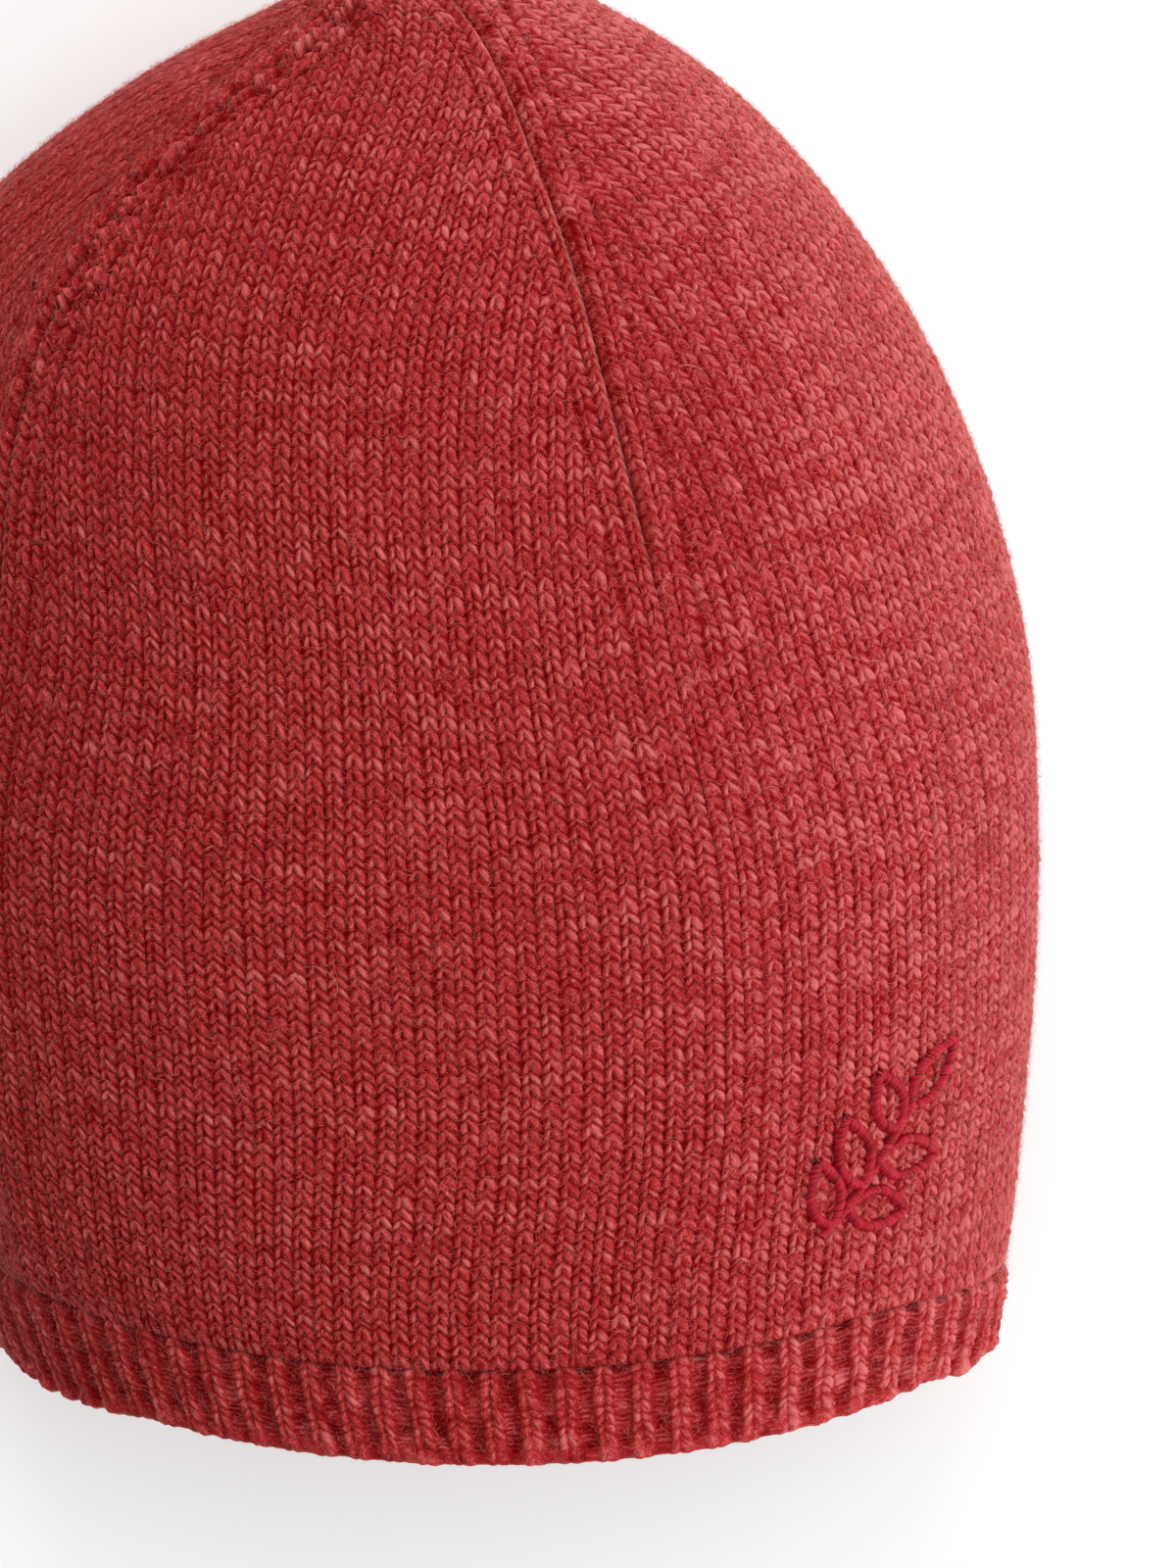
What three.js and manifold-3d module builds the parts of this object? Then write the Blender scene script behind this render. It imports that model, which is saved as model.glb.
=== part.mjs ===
// A fine knitted beanie lying on its back: a hollow crown of four gores, a ribbed band
// round its mouth and a small embroidered sprig.
// Millimetres. +X is to the right of the front, +Y runs from the mouth to the tip and +Z is up.
// The origin is under the middle of the hat, on the surface that it lies on.

import * as THREE from "three";
import Module from "manifold-3d";
import { mergeVertices } from "three/addons/utils/BufferGeometryUtils.js";

const wasm = await Module();
wasm.setup();

// ---------- driving dimensions ----------

// Sections of the hat by their share of the way from the tip (0) to the hem (1): how far the
// left and right sides reach, where the side, front and back points lie along the hat, and
// how high the side, front and back points are. Below the floor the back is pressed flat.
const columns = ["left", "right", "sideY", "frontY", "backY", "sideZ", "frontZ", "backZ"];
const sections = [
  { share: 0, at: [-2, -2, 238, 238, 238, 58, 58, 58] },
  { share: 0.04, at: [-12.2, 8.2, 238.6, 233, 240.6, 55, 64.5, 47.5] },
  { share: 0.1, at: [-26, 23.2, 233.6, 222.8, 238.2, 49, 71.5, 31] },
  { share: 0.2, at: [-50.4, 46.2, 219.4, 201.6, 221.2, 41.5, 79.6, 8.5] },
  { share: 0.3, at: [-72.4, 64.4, 201, 178, 197, 37.5, 84, -2.5] },
  { share: 0.4, at: [-84.5, 79, 179.4, 153.2, 170.8, 36.5, 86.2, -6] },
  { share: 0.5, at: [-89.4, 89.6, 154.6, 127.8, 144.5, 36.5, 86.6, -6.5] },
  { share: 0.6, at: [-90.8, 95.5, 128.8, 102.2, 118, 36.5, 86.6, -6.5] },
  { share: 0.7, at: [-90, 97.1, 102.4, 76.6, 91.5, 36.5, 86.4, -6.5] },
  { share: 0.8, at: [-87, 96.4, 76, 51, 65.5, 36.5, 85.6, -6.5] },
  { share: 0.9, at: [-81.5, 94, 49.4, 25.4, 39.5, 36.5, 84, -6] },
  { share: 1, at: [-71.8, 90.8, 22.6, 0, 13.5, 36.5, 81.5, -6] },
].map(({ share, at }) => {
  const named = columns.map((name, i) => [name, at[i]]);
  return { share, ...Object.fromEntries(named) };
});
const foldRound = 0.2; // how roundly the courses turn at the sides, as a share of the half width
const floorRound = 4; // height over which the back rounds into its flat stretch

const wall = 2.2; // knitted wall of the crown
const gap = 0.3; // clearance of the sprig over the crown
const seamGap = 0.5; // clearance between crown and band, whose facets differ

const goreCount = 4;
const dartTurn = 31; // degrees round the hat from the middle of the front to the first dart
const dart = { start: 0.5, fade: 0.1, tipFade: 0.06, depth: 1, halfWidth: 1.6 };
const dartRidge = { height: 0.5, at: 4.2, halfWidth: 2.4 }; // raised beside each dart
const gorePuff = { height: 1.3, from: 0.03, full: 0.2, until: 0.5 };

const bandShare = 0.941; // the band runs from here to the hem
const bandTuck = { depth: 0.8, length: 0.012 }; // the crown dips to the band over this share
const ribCount = 72;
const rib = { inset: 0.6, depth: 0.9, wall: 2, crest: 0.2, valley: 0.36 };

const sprigPlace = { share: 0.835, turn: 56.5 };
const stitch = { width: 1.7, topWidth: 1, thickness: 0.8 };
const stem = { from: [-11, -12], bendA: [-6, -9], bendB: [-1, -3], to: [5, 4] };
// Leaves of the sprig: where each leaves the stem, its heading in degrees, and its size.
const leaves = [
  { along: 0.12, heading: 105, length: 11, belly: 2.7 },
  { along: 0.3, heading: -18, length: 12, belly: 2.8 },
  { along: 0.48, heading: 108, length: 12, belly: 2.9 },
  { along: 0.66, heading: -12, length: 12, belly: 2.8 },
  { along: 0.86, heading: 112, length: 10.5, belly: 2.6 },
  { along: 1, heading: 40, length: 12, belly: 2.8 },
];

const wool = { color: 0xb03a3c, roughness: 0.95, metalness: 0 };
const thread = { color: 0xb01438, roughness: 0.5, metalness: 0 };

// ---------- the lying surface ----------

const radians = THREE.MathUtils.degToRad;
const smoothRise = THREE.MathUtils.smoothstep;

// Slope of one column of the sections at each row, for a smooth curve through all of them.
function columnSlopes(name) {
  const last = sections.length - 1;
  const step = (i) => sections[i + 1].share - sections[i].share;
  const rise = (i) => (sections[i + 1][name] - sections[i][name]) / step(i);
  const slopes = sections.map((row, i) => {
    if (i === 0 || i === last) return 0;
    return (step(i) * rise(i - 1) + step(i - 1) * rise(i)) / (step(i - 1) + step(i));
  });
  slopes[0] = 2 * rise(0) - slopes[1];
  slopes[last] = 2 * rise(last - 1) - slopes[last - 1];
  return slopes;
}

const slopesOf = Object.fromEntries(columns.map((name) => [name, columnSlopes(name)]));

// The section at any share of the way from tip to hem.
function sectionAt(share) {
  let i = sections.findIndex((row) => row.share > share) - 1;
  if (i < 0) i = sections.length - 2;
  const [a, b] = [sections[i], sections[i + 1]];
  const step = b.share - a.share;
  const u = (share - a.share) / step;
  const v = 1 - u;
  const made = {};
  for (const name of columns) {
    const slope = slopesOf[name];
    made[name] = v * v * (1 + 2 * u) * a[name] + u * u * (3 - 2 * u) * b[name]
      + u * v * v * step * slope[i] - u * u * v * step * slope[i + 1];
  }
  return made;
}

// Point of the bare surface, before the floor presses it: angle 0 is the middle of the front.
function bareSurface(share, angle) {
  const row = sectionAt(share);
  const c = Math.cos(angle);
  const turn = (Math.hypot(c, foldRound) - foldRound) / (Math.hypot(1, foldRound) - foldRound);
  const endY = c > 0 ? row.frontY : row.backY;
  const reach = c > 0 ? row.frontZ - row.sideZ : row.sideZ - row.backZ;
  return new THREE.Vector3(
    (row.left + row.right) / 2 + ((row.right - row.left) / 2) * Math.sin(angle),
    row.sideY + (endY - row.sideY) * turn,
    row.sideZ + reach * c,
  );
}

const tipShare = 0.01; // nearer the tip than this its normal stands for all

function surfaceNormal(share, angle) {
  const nudge = 1e-3;
  const at = THREE.MathUtils.clamp(share, tipShare, 1 - nudge);
  const down = bareSurface(at + nudge, angle).sub(bareSurface(at - nudge, angle));
  const round = bareSurface(at, angle + nudge).sub(bareSurface(at, angle - nudge));
  return down.cross(round).normalize();
}

// Heights near the floor are rounded off and then flat on it.
function pressedHeight(z) {
  if (z >= floorRound) return z;
  if (z <= -floorRound) return 0;
  return (z + floorRound) ** 2 / (4 * floorRound);
}

// Angles of a section at even shares of its perimeter, as a function of that share in degrees.
function evenTurns(share) {
  const samples = 360;
  const lengths = [0];
  let before = bareSurface(share, 0);
  for (let i = 1; i <= samples; i++) {
    const next = bareSurface(share, (2 * Math.PI * i) / samples);
    lengths.push(lengths[i - 1] + next.distanceTo(before));
    before = next;
  }
  const perimeter = lengths[samples];
  const angleOf = (turn) => {
    const wanted = THREE.MathUtils.euclideanModulo(turn / 360, 1) * perimeter;
    let i = lengths.findIndex((length) => length > wanted);
    if (i < 1) i = samples;
    const part = (wanted - lengths[i - 1]) / (lengths[i] - lengths[i - 1]);
    return (2 * Math.PI * (i - 1 + part)) / samples;
  };
  return { perimeter, angleOf };
}

// Length of surface, in millimetres for a whole share, down the middle of the front.
function evenDown(share) {
  const step = 0.01;
  return bareSurface(share + step, 0).distanceTo(bareSurface(share - step, 0)) / (2 * step);
}

// How far the crown stands out of the bare surface: darts sunk between two ridges,
// gores puffed between them, and the edge tucked in to the band.
function crownRelief(share, turn, perimeter) {
  const gore = 360 / goreCount;
  const fromDart = THREE.MathUtils.euclideanModulo(turn - dartTurn + gore / 2, gore) - gore / 2;
  const away = (Math.abs(fromDart) / 360) * perimeter;
  const shown = smoothRise(share, 0, dart.tipFade)
    * (1 - smoothRise(share, dart.start - dart.fade, dart.start));
  const groove = dart.depth * Math.exp(-((away / dart.halfWidth) ** 2));
  const ridge = dartRidge.height * Math.exp(-(((away - dartRidge.at) / dartRidge.halfWidth) ** 2));
  const puffed = smoothRise(share, gorePuff.from, gorePuff.full)
    * (1 - smoothRise(share, gorePuff.full, gorePuff.until));
  const puff = gorePuff.height * puffed * Math.sin((Math.PI * Math.abs(fromDart)) / gore);
  const tuck = bandTuck.depth * smoothRise(share, bandShare - bandTuck.length, bandShare);
  return shown * (ridge - groove) + puff - tuck;
}

// A point standing out of the surface; the floor holds it at the height of its own layer.
function surfacePoint(share, angle, out, layer) {
  const point = bareSurface(share, angle).addScaledVector(surfaceNormal(share, angle), out - layer);
  point.z = pressedHeight(point.z - layer) + layer;
  return point;
}

// ---------- solids ----------

// A closed mesh through rings of points, each ring as long as the last. Its ends close in
// a tip each, or the last ring joins the first.
function skin(rings, tips) {
  const width = rings[0].length;
  const points = rings.flat();
  const faces = [];
  const joins = tips ? rings.length - 1 : rings.length;
  for (let i = 0; i < joins; i++) {
    const a = i * width;
    const b = ((i + 1) % rings.length) * width;
    for (let j = 0; j < width; j++) {
      const k = (j + 1) % width;
      faces.push(a + j, b + j, a + k, b + j, b + k, a + k);
    }
  }
  if (tips) {
    const end = (rings.length - 1) * width;
    for (let j = 0; j < width; j++) {
      const k = (j + 1) % width;
      faces.push(points.length, j, k, end + j, points.length + 1, end + k);
    }
    points.push(...tips);
  }
  const geometry = new THREE.BufferGeometry().setFromPoints(points);
  geometry.setIndex(faces);
  return geometry;
}

function fused(geometries) {
  const solids = geometries.map((geometry) => {
    const clean = mergeVertices(geometry, 1e-4);
    return new wasm.Manifold(new wasm.Mesh({
      numProp: 3,
      vertProperties: clean.attributes.position.array,
      triVerts: new Uint32Array(clean.index.array),
    }));
  });
  const mesh = solids.reduce((whole, solid) => whole.add(solid)).getMesh();
  const made = new THREE.BufferGeometry();
  made.setAttribute("position", new THREE.BufferAttribute(mesh.vertProperties, 3));
  made.setIndex(new THREE.BufferAttribute(mesh.triVerts, 1));
  return made;
}

function piece(name, geometry, finish) {
  geometry.computeVertexNormals();
  const mesh = new THREE.Mesh(geometry, new THREE.MeshStandardMaterial(finish));
  mesh.name = name;
  return mesh;
}

// ---------- crown ----------

// Columns of the crown: close together at each dart, even between them.
const goreSteps = [0, 0.02, 0.05, 0.09, 0.15, 0.21, 0.27, 0.33, 0.39, 0.45,
  0.51, 0.57, 0.63, 0.7, 0.78, 0.86, 0.93, 0.97];
const outerShares = [0.015, 0.035, 0.06, 0.09, 0.12, 0.155, 0.19, 0.23, 0.27, 0.31, 0.35,
  0.4, 0.45, 0.5, 0.56, 0.63, 0.7, 0.77, 0.84, 0.9, 0.928];
const innerShares = [0.9, 0.82, 0.72, 0.62, 0.52, 0.44, 0.36, 0.29, 0.23, 0.17, 0.12, 0.07, 0.03];

function crownGeometry() {
  const turns = [];
  for (let gore = 0; gore < goreCount; gore++) {
    for (const step of goreSteps) turns.push(dartTurn + ((gore + step) * 360) / goreCount);
  }
  const ring = (share, depth) => {
    const { perimeter, angleOf } = evenTurns(share);
    return turns.map((turn) =>
      surfacePoint(share, angleOf(turn), crownRelief(share, turn, perimeter), depth));
  };
  const edge = bandShare - seamGap / 2 / evenDown(bandShare);
  const rings = [...outerShares, edge].map((share) => ring(share, 0));
  rings.push(...[edge, ...innerShares].map((share) => ring(share, wall)));
  const tips = [0, wall].map((depth) => surfacePoint(0, 0, 0, depth));
  return skin(rings, tips);
}

// ---------- ribbed band ----------

function bandGeometry() {
  // Round each rib the wall steps between crest and valley, in shares of the rib's pitch.
  const ribSteps = [
    { at: -rib.crest, sunk: 0 },
    { at: rib.crest, sunk: 0 },
    { at: rib.valley, sunk: rib.depth },
    { at: 1 - rib.valley, sunk: rib.depth },
  ];
  const marks = [];
  for (let i = 0; i < ribCount; i++) {
    for (const { at, sunk } of ribSteps) marks.push({ turn: ((i + at) * 360) / ribCount, sunk });
  }
  const ring = (share, depth) => {
    const { angleOf } = evenTurns(share);
    return marks.map(({ turn, sunk }) => {
      const angle = angleOf(turn);
      const base = surfacePoint(share, angle, -rib.inset, 0);
      return base.addScaledVector(surfaceNormal(share, angle), -sunk - depth);
    });
  };
  const top = bandShare + seamGap / 2 / evenDown(bandShare);
  const rows = [
    { share: top, depth: 0 },
    { share: 0.96, depth: 0 },
    { share: 0.985, depth: 0 },
    { share: 0.996, depth: 0.2 },
    { share: 1, depth: rib.wall / 2 },
    { share: 0.996, depth: rib.wall - 0.2 },
    { share: 0.97, depth: rib.wall },
    { share: top, depth: rib.wall },
  ];
  return skin(rows.map(({ share, depth }) => ring(share, depth)));
}

// ---------- embroidered sprig ----------

// A point lifted off the crown, by millimetres across and up from the sprig's middle.
function onCrown(across, up, lift) {
  const share = sprigPlace.share - up / evenDown(sprigPlace.share);
  const { perimeter, angleOf } = evenTurns(share);
  const turn = sprigPlace.turn + (across / perimeter) * 360;
  return surfacePoint(share, angleOf(turn), crownRelief(share, turn, perimeter) + lift, 0);
}

// One satin-stitched stroke along a flat path: an arched strip lying just off the crown.
function stroke(path, closed) {
  const profile = [
    { side: stitch.width / 2, lift: gap },
    { side: stitch.topWidth / 2, lift: gap + stitch.thickness },
    { side: -stitch.topWidth / 2, lift: gap + stitch.thickness },
    { side: -stitch.width / 2, lift: gap },
  ];
  const rings = path.map((point, i) => {
    const ahead = path[closed ? (i + 1) % path.length : Math.min(i + 1, path.length - 1)];
    const behind = path[closed ? (i + path.length - 1) % path.length : Math.max(i - 1, 0)];
    const along = ahead.clone().sub(behind).normalize();
    return profile.map(({ side, lift }) =>
      onCrown(point.x + along.y * side, point.y - along.x * side, lift));
  });
  if (closed) return skin(rings);
  const middle = gap + stitch.thickness / 2;
  const tips = [0, 1].map((end) => {
    const at = path[end * (path.length - 1)];
    const next = path[end ? path.length - 2 : 1];
    const out = at.clone().sub(next).setLength(stitch.width / 2);
    return onCrown(at.x + out.x, at.y + out.y, middle);
  });
  return skin(rings, tips);
}

// The outline of one leaf: two bellied sides that meet at its base and point.
function leafPath(base, leaf) {
  const sideSteps = 7;
  const heading = radians(leaf.heading);
  const along = new THREE.Vector2(Math.cos(heading), Math.sin(heading));
  const across = new THREE.Vector2(-along.y, along.x);
  const path = [];
  for (const side of [1, -1]) {
    for (let i = 0; i < sideSteps; i++) {
      const run = side > 0 ? i / sideSteps : 1 - i / sideSteps;
      const belly = side * leaf.belly * Math.sin(Math.PI * run ** 0.85);
      path.push(base.clone().addScaledVector(along, leaf.length * run).addScaledVector(across, belly));
    }
  }
  return path;
}

function sprigGeometry() {
  const bends = [stem.from, stem.bendA, stem.bendB, stem.to];
  const curve = new THREE.CubicBezierCurve(...bends.map(([x, y]) => new THREE.Vector2(x, y)));
  const strokes = [stroke(curve.getPoints(14), false)];
  for (const leaf of leaves) {
    strokes.push(stroke(leafPath(curve.getPoint(leaf.along), leaf), true));
  }
  return fused(strokes);
}

// ---------- the hat ----------

const beanie = new THREE.Group();
beanie.add(
  piece("crown", crownGeometry(), wool),
  piece("rib_band", bandGeometry(), wool),
  piece("embroidered_sprig", sprigGeometry(), thread),
);

// Brings the middle of the hat's footprint over the origin.
const reach = new THREE.Box3().setFromObject(beanie);
const middle = reach.getCenter(new THREE.Vector3());
beanie.position.set(-middle.x, -middle.y, -reach.min.z);

export default beanie;
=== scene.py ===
import math
import bpy
import numpy as np
from mathutils import Matrix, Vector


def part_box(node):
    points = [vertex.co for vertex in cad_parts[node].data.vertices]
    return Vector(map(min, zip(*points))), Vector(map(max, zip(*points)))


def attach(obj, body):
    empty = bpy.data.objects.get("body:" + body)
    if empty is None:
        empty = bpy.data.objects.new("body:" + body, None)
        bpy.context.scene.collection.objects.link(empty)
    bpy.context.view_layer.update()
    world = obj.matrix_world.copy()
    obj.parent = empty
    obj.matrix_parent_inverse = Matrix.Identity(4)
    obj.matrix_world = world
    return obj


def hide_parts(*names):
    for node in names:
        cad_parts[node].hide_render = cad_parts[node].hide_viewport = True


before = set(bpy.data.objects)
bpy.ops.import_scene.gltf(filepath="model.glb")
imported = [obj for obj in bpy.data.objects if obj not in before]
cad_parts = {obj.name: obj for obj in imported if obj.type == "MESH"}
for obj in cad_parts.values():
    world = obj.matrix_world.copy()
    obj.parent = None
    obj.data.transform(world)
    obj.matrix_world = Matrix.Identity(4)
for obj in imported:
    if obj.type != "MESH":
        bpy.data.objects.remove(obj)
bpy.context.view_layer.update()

mm = 0.001
rng = np.random.default_rng(31)

# The lying hat in millimetres, by share of the way from the tip (0) to the hem (1): how far it
# reaches left and right, and where its side, front and back points lie along it and in height.
# Heights below the floor are pressed flat on it.
hat = {
    "sections": (  # share, left, right, sideY, frontY, backY, sideZ, frontZ, backZ
        (0.00, -2.0, -2.0, 238.0, 238.0, 238.0, 58.0, 58.0, 58.0),
        (0.04, -12.0, 9.2, 238.6, 233.0, 240.6, 55.0, 64.5, 47.5),
        (0.10, -23.6, 24.8, 233.6, 222.8, 238.2, 49.0, 71.5, 31.0),
        (0.20, -49.8, 46.8, 219.4, 201.6, 221.2, 41.5, 79.6, 8.5),
        (0.30, -72.4, 64.4, 201.0, 178.0, 197.0, 37.5, 84.0, -2.5),
        (0.40, -84.5, 79.0, 179.4, 153.2, 170.8, 36.5, 86.2, -6.0),
        (0.50, -89.4, 89.6, 154.6, 127.8, 144.5, 36.5, 86.6, -6.5),
        (0.60, -90.8, 95.5, 128.8, 102.2, 118.0, 36.5, 86.6, -6.5),
        (0.70, -90.0, 97.1, 102.4, 76.6, 91.5, 36.5, 86.4, -6.5),
        (0.80, -87.0, 96.4, 76.0, 51.0, 65.5, 36.5, 85.6, -6.5),
        (0.90, -81.5, 94.0, 49.4, 25.4, 39.5, 36.5, 84.0, -6.0),
        (1.00, -71.8, 90.8, 22.6, 0.0, 13.5, 36.5, 81.5, -6.0),
    ),
    "foldRound": 0.2,  # how roundly the courses turn at the sides
    "floorRound": 4.0,  # height over which the back rounds into its flat stretch
    "wall": 2.2,  # knitted wall
    "bandShare": 0.941,  # the ribbed band runs from here to the hem
    "goreCount": 4,
    "dartTurn": 31.0,  # degrees of perimeter from the middle of the front to the right dart
    "sideSpan": (0.6, 0.98),  # how far aside the right side starts, and is full
    "share": 250.0,  # millimetres that a whole share runs, near enough
    "floorGap": 0.05,  # nothing comes nearer to the floor
}

sectionRows = np.array(hat["sections"])
bandTop = hat["bandShare"]
goreTurn = 360 / hat["goreCount"]


def sectionColumn(column, share):
    # smooth curve through one column of the sections
    at, value = sectionRows[:, 0], sectionRows[:, column]
    step = np.diff(at)
    rise = np.diff(value) / step
    slope = np.empty(len(at))
    slope[1:-1] = (step[1:] * rise[:-1] + step[:-1] * rise[1:]) / (step[1:] + step[:-1])
    slope[0] = 2 * rise[0] - slope[1]
    slope[-1] = 2 * rise[-1] - slope[-2]
    i = np.clip(np.searchsorted(at, share, side="right") - 1, 0, len(step) - 1)
    u = (share - at[i]) / step[i]
    v = 1 - u
    return (v * v * (1 + 2 * u) * value[i] + u * u * (3 - 2 * u) * value[i + 1]
            + u * v * v * step[i] * slope[i] - u * u * v * step[i] * slope[i + 1])


def bareSurface(share, angle):
    # angle 0 is the middle of the front, and a quarter turn the right side
    left, right, sideY, frontY, backY, sideZ, frontZ, backZ = (
        sectionColumn(column, share) for column in range(1, 9))
    front = np.cos(angle) > 0
    endY = np.where(front, frontY, backY)
    reach = np.where(front, frontZ - sideZ, sideZ - backZ)
    r = hat["foldRound"]
    turn = (np.hypot(np.cos(angle), r) - r) / (math.hypot(1, r) - r)
    return np.stack([(left + right) / 2 + (right - left) / 2 * np.sin(angle),
                     sideY + (endY - sideY) * turn,
                     sideZ + reach * np.cos(angle)], -1)


def joined(*parts, axis=0):
    return np.concatenate(parts, axis)


def unit(v):
    return v / np.maximum(np.linalg.norm(v, axis=-1, keepdims=True), 1e-12)


def surfaceNormal(share, angle):
    nudge = 1e-3
    at = np.clip(share, 10 * nudge, 1 - nudge)
    down = bareSurface(at + nudge, angle) - bareSurface(at - nudge, angle)
    along = bareSurface(at, angle + nudge) - bareSurface(at, angle - nudge)
    return unit(np.cross(down, along))


def pressed(z):
    r = hat["floorRound"]
    return np.where(z >= r, z, np.where(z <= -r, 0, (z + r) ** 2 / (4 * r)))


# angles at even steps of perimeter, so that stitches are as wide all round a section
tableShares = np.linspace(0.002, 1, 500)
tableAngles = np.linspace(0, 2 * math.pi, 1441)
evenTurns = np.linspace(0, 360, 721)
turnTable = []
girths = []
for tableShare in tableShares:
    ring = bareSurface(np.full_like(tableAngles, tableShare), tableAngles)
    walked = joined([0], np.cumsum(np.linalg.norm(np.diff(ring, axis=0), axis=1)))
    girths.append(walked[-1])
    turnTable.append(np.interp(evenTurns, walked / walked[-1] * 360, tableAngles))
turnTable = np.array(turnTable)


def girthAt(share):
    return np.interp(share, tableShares, girths)


def blended(values, i, j, a, b):
    # between four neighbours of a table
    return ((1 - a) * ((1 - b) * values[i, j] + b * values[i, j + 1])
            + a * ((1 - b) * values[i + 1, j] + b * values[i + 1, j + 1]))


def angleAt(share, turn):
    row = (share - tableShares[0]) / (tableShares[1] - tableShares[0])
    row = np.clip(row, 0, len(tableShares) - 1.001)
    col = np.mod(turn, 360) * 2
    i, j = row.astype(int), np.minimum(col.astype(int), 719)
    return blended(turnTable, i, j, row - i, col - j)


def ease(x, low, high):
    t = np.clip((x - low) / (high - low), 0, 1)
    return t * t * (3 - 2 * t)


def hump(x, span):
    # rises over the first two values of the span and falls over the last two
    start, full, fading, gone = span
    return ease(x, start, full) * (1 - ease(x, fading, gone))


def bell(x, half):
    return np.exp(-(x / half) ** 2)


def sideways(share, turn):
    # 1 at the right side of the hat, 0 in the middle of its front and back, -1 at the left
    return np.sin(angleAt(np.clip(share, 0, 1), turn))


def rightSide(share, turn):
    # fades out towards the front and back
    return ease(sideways(share, turn), *hat["sideSpan"])


def pastDart(turn, wrap=360, moved=0):
    # degrees past the right dart, or past the nearest dart where they wrap at each gore
    return np.mod(turn - hat["dartTurn"] + moved + wrap / 2, wrap) - wrap / 2


# Low relief in millimetres. A span says from which share it rises, and where it fades.
crownForm = {
    "dartSpan": (0.0, 0.06, 0.4, 0.5),
    "groove": 1.2, "grooveHalf": 0.9, "leftGroove": 0.3,  # sunk along each dart, less at the left
    "ridge": 0.8, "ridgeAt": 1.8, "ridgeHalf": 1.1,  # raised beside each dart
    "puff": 1.3, "leftPuff": 0.4, "puffSpan": (0.03, 0.2, 0.2, 0.5),
    "valley": 2.1, "valleyRight": 20.0, "valleyLeft": 40.0,  # a broad dip along the right dart
    "valleySpan": (0.05, 0.16, 0.44, 0.66),
    "fall": 1.5, "fallAt": 13.0, "fallHalf": 10.0,  # the left gore falls away by its dart
    "fallSpan": (0.16, 0.28, 0.4, 0.58),
    "tuck": 0.8, "tuckLength": 0.012, "sideTuck": 0.2,  # dips to the band, less at the right
}


def crownRelief(share, turn):
    form, perimeter = crownForm, girthAt(share)
    fromDart, fromRight = pastDart(turn, goreTurn), pastDart(turn)
    away = np.abs(fromDart) / 360 * perimeter
    leftDart = (fromRight > -1.5 * goreTurn) & (fromRight < -0.5 * goreTurn)
    groove = np.where(leftDart, form["leftGroove"], form["groove"]) * bell(away, form["grooveHalf"])
    ridge = form["ridge"] * bell(away - form["ridgeAt"], form["ridgeHalf"])
    leftGore = (fromRight > -2 * goreTurn) & (fromRight < -goreTurn)
    puff = np.where(leftGore, form["leftPuff"], form["puff"]) * hump(share, form["puffSpan"])
    puff = puff * np.sin(math.pi * np.abs(fromDart) / goreTurn)
    beside = fromRight / 360 * perimeter
    wide = np.where(beside > 0, form["valleyRight"], form["valleyLeft"])
    valley = form["valley"] * bell(beside, wide) * hump(share, form["valleySpan"])
    beyond = -pastDart(turn, moved=goreTurn) / 360 * perimeter
    fall = form["fall"] * bell(beyond - form["fallAt"], form["fallHalf"]) * hump(share, form["fallSpan"])
    tucked = form["tuck"] + (form["sideTuck"] - form["tuck"]) * rightSide(share, turn)
    tuck = tucked * ease(share, bandTop - form["tuckLength"], bandTop)
    return hump(share, form["dartSpan"]) * (ridge - groove) + puff - valley - fall - tuck


def clothPoint(share, turn, out, layer=0.0):
    # a point standing out of the cloth, and the way out there
    angle = angleAt(share, turn)
    normal = surfaceNormal(share, angle)
    point = bareSurface(share, angle) + normal * (out - layer)[..., None]
    point[..., 2] = pressed(point[..., 2] - layer) + layer
    return point, normal


def aboveFloor(points):
    points[..., 2] = np.maximum(points[..., 2], hat["floorGap"])
    return points


# the frame has the hat's middle over its origin
probeShare, probeTurn = np.meshgrid(np.linspace(0.01, 1, 200), np.linspace(0, 360, 361))
probe = clothPoint(probeShare, probeTurn, crownRelief(probeShare, probeTurn))[0].reshape(-1, 3)
crownLow, crownHigh = (np.array(corner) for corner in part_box("crown"))
shift = np.array([
    (crownLow[0] + crownHigh[0]) / 2 / mm - (probe[:, 0].min() + probe[:, 0].max()) / 2,
    crownHigh[1] / mm - probe[:, 1].max(),
    0.0,
])


def inFrame(points):
    return (points + shift) * mm


def srgb(r, g, b):
    # a screen's colour, 0 to 255, as light
    return tuple(c / 12.92 if c <= 0.04045 else ((c + 0.055) / 1.055) ** 2.4
                 for c in (r / 255, g / 255, b / 255)) + (1.0,)


print("surface ready, shift", np.round(shift, 2))


def addObject(name, data):
    made = bpy.data.objects.new(name, data)
    bpy.context.scene.collection.objects.link(made)
    return made


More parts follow.
